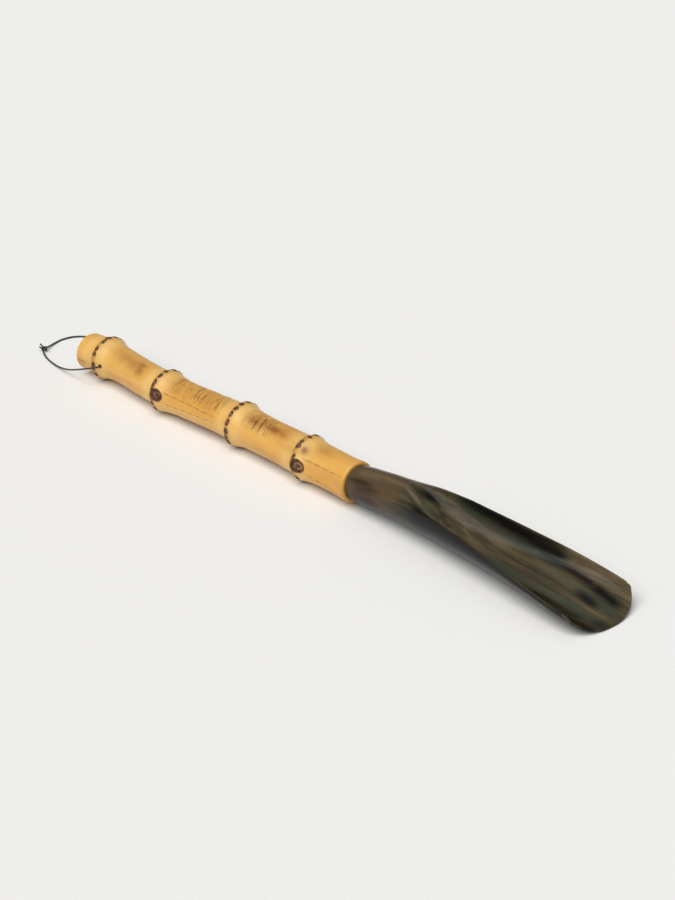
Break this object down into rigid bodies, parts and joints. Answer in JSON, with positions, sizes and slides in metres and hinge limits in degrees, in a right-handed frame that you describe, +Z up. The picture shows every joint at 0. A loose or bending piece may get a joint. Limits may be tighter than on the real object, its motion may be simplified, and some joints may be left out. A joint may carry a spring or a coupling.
{
  "type": "long shoehorn",
  "caption": "Long shoehorn: a ringed bamboo-root handle joined by a hidden pin to a carved horn blade with an open channel, and a knotted cord loop through the butt end.",
  "frame": {"origin": "on the ground under the middle of the handle and blade together, without the cord", "axes": "+X from the butt of the handle to the tip of the blade, +Z up out of the blade's channel, +Y to the side away from the strand that the picture shows in front"},
  "size_m": [0.5113, 0.0555, 0.03],
  "materials": {
    "bamboo": "polished natural bamboo root, toasted brown in places, satin to gloss",
    "horn": "highly polished dark horn with lighter brown and grey-green streaks",
    "steel": "turned, unpolished",
    "adhesive": "cured epoxy, dark amber",
    "cord": "black waxed braided cord"
  },
  "bodies": {
    "shoehorn": {"bamboo_handle": "bamboo", "horn_blade": "horn", "joining_pin": "steel", "joint_adhesive": "adhesive"},
    "cord_loop": {"cord_in_bore": "cord", "near_strand": "cord", "far_strand": "cord", "cord_knot": "cord", "knot_tails": "cord"}
  },
  "joints": [
    {"name": "loop_swing", "type": "hinge", "parent": "shoehorn", "child": "cord_loop", "pos_m": [-0.2055, -0.00487, 0.015], "axis": [0, 1, 0], "range_deg": [-115, 135]}
  ]
}
